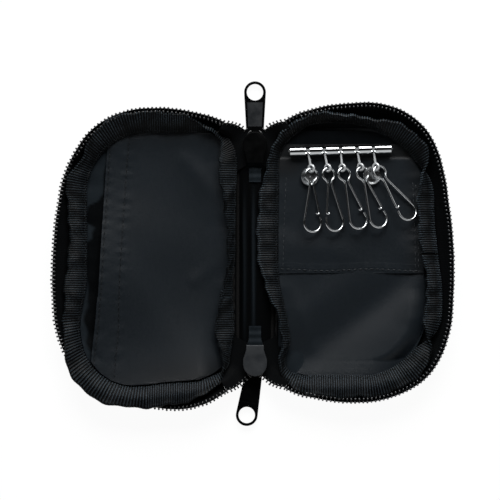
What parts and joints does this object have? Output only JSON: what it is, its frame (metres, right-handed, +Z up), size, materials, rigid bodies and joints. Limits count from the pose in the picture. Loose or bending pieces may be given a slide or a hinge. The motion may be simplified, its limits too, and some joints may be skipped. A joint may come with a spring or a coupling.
{
  "type": "key case",
  "caption": "Soft zip-around key case laid open, with a slotted key bar, swinging wire hooks, slip pockets and two zip sliders with ring pulls.",
  "frame": {"origin": "middle of the open case, on the surface it lies on", "axes": "+X across the open case to the half with the key bar, +Y along the spine to the top slider, +Z up"},
  "size_m": [0.1593, 0.1381, 0.0088],
  "materials": {
    "outer_fabric": "coarse woven, matt",
    "lining_fabric": "fine woven, slight sheen",
    "binding_ribbon": "ribbed ribbon",
    "zip_tape": "twill tape",
    "zip_coil": "moulded, glossy",
    "black_metal": "satin black",
    "chrome": "polished",
    "steel": "plain wire"
  },
  "bodies": {
    "spine": {"spine_panel": "outer_fabric", "spine_lining": "lining_fabric", "top_end_tab": "zip_tape", "bottom_end_tab": "zip_tape"},
    "left_half": {"left_outer_panel": "outer_fabric", "left_lining": "lining_fabric", "left_binding": "binding_ribbon", "left_zip_tape": "zip_tape", "left_zip_teeth": "zip_coil", "left_top_zip_end": "zip_tape", "left_bottom_zip_end": "zip_tape", "left_pocket": "lining_fabric"},
    "right_half": {"right_outer_panel": "outer_fabric", "right_lining": "lining_fabric", "right_binding": "binding_ribbon", "right_zip_tape": "zip_tape", "right_zip_teeth": "zip_coil", "right_top_zip_end": "zip_tape", "right_bottom_zip_end": "zip_tape", "right_pocket": "lining_fabric", "key_panel": "lining_fabric", "key_bar": "chrome", "key_rod": "steel"},
    "top_slider": {"top_slider": "black_metal"},
    "bottom_slider": {"bottom_slider": "black_metal"},
    "top_pull": {"top_pull_tab": "black_metal"},
    "bottom_pull": {"bottom_pull_tab": "black_metal"},
    "link_1": {"key_link_1": "chrome"},
    "hook_1": {"key_hook_1": "chrome"},
    "link_2": {"key_link_2": "chrome"},
    "hook_2": {"key_hook_2": "chrome"},
    "link_3": {"key_link_3": "chrome"},
    "hook_3": {"key_hook_3": "chrome"},
    "link_4": {"key_link_4": "chrome"},
    "hook_4": {"key_hook_4": "chrome"},
    "link_5": {"key_link_5": "chrome"},
    "hook_5": {"key_hook_5": "chrome"}
  },
  "joints": [
    {"name": "left_fold", "type": "hinge", "parent": "spine", "child": "left_half", "pos_m": [-0.008, 0, 0.001], "axis": [0, 1, 0], "range_deg": [0, 90], "deforming": ["left_top_zip_end", "left_bottom_zip_end"]},
    {"name": "right_fold", "type": "hinge", "parent": "spine", "child": "right_half", "pos_m": [0.008, 0, 0.001], "axis": [0, -1, 0], "range_deg": [0, 90], "deforming": ["right_top_zip_end", "right_bottom_zip_end"]},
    {"name": "top_slider_run", "type": "slide", "parent": "spine", "child": "top_slider", "axis": [0, -1, 0], "range_m": [-0.004, 0], "deforming": ["left_top_zip_end", "right_top_zip_end"]},
    {"name": "bottom_slider_run", "type": "slide", "parent": "spine", "child": "bottom_slider", "axis": [0, 1, 0], "range_m": [-0.004, 0], "deforming": ["left_bottom_zip_end", "right_bottom_zip_end"]},
    {"name": "top_pull_swing", "type": "hinge", "parent": "top_slider", "child": "top_pull", "pos_m": [0, 0.04501, 0.0013], "axis": [1, 0, 0], "range_deg": [-170, 0]},
    {"name": "bottom_pull_swing", "type": "hinge", "parent": "bottom_slider", "child": "bottom_pull", "pos_m": [0, -0.04501, 0.0013], "axis": [-0.986, 0.1668, 0], "range_deg": [-170, 0]},
    {"name": "link_1_turn", "type": "hinge", "parent": "right_half", "child": "link_1", "pos_m": [0.02108, 0.04116, 0.00485], "axis": [0.9997, 0.0262, 0], "range_deg": [-140, 0]},
    {"name": "hook_1_swing", "type": "hinge", "parent": "link_1", "child": "hook_1", "pos_m": [0.0225, 0.0342, 0.00485], "axis": [0, 0, 1], "range_deg": [-8, 8]},
    {"name": "link_2_turn", "type": "hinge", "parent": "right_half", "child": "link_2", "pos_m": [0.02764, 0.04133, 0.00485], "axis": [0.9997, 0.0262, 0], "range_deg": [-140, 0]},
    {"name": "hook_2_swing", "type": "hinge", "parent": "link_2", "child": "hook_2", "pos_m": [0.02906, 0.03437, 0.00485], "axis": [0, 0, 1], "range_deg": [-8, 8]},
    {"name": "link_3_turn", "type": "hinge", "parent": "right_half", "child": "link_3", "pos_m": [0.0342, 0.0415, 0.00485], "axis": [0.9997, 0.0262, 0], "range_deg": [-140, 0]},
    {"name": "hook_3_swing", "type": "hinge", "parent": "link_3", "child": "hook_3", "pos_m": [0.03488, 0.03443, 0.00485], "axis": [0, 0, 1], "range_deg": [-8, 8]},
    {"name": "link_4_turn", "type": "hinge", "parent": "right_half", "child": "link_4", "pos_m": [0.04076, 0.04167, 0.00485], "axis": [0.9997, 0.0262, 0], "range_deg": [-140, 0]},
    {"name": "hook_4_swing", "type": "hinge", "parent": "link_4", "child": "hook_4", "pos_m": [0.04217, 0.03471, 0.00485], "axis": [0, 0, 1], "range_deg": [-8, 8]},
    {"name": "link_5_turn", "type": "hinge", "parent": "right_half", "child": "link_5", "pos_m": [0.04732, 0.04184, 0.00485], "axis": [0.9997, 0.0262, 0], "range_deg": [-140, 0]},
    {"name": "hook_5_swing", "type": "hinge", "parent": "link_5", "child": "hook_5", "pos_m": [0.04836, 0.03482, 0.00485], "axis": [0, 0, 1], "range_deg": [-8, 8]}
  ],
  "couplings": [
    {"joint": "right_fold", "follows": "left_fold", "ratio": 1}
  ]
}
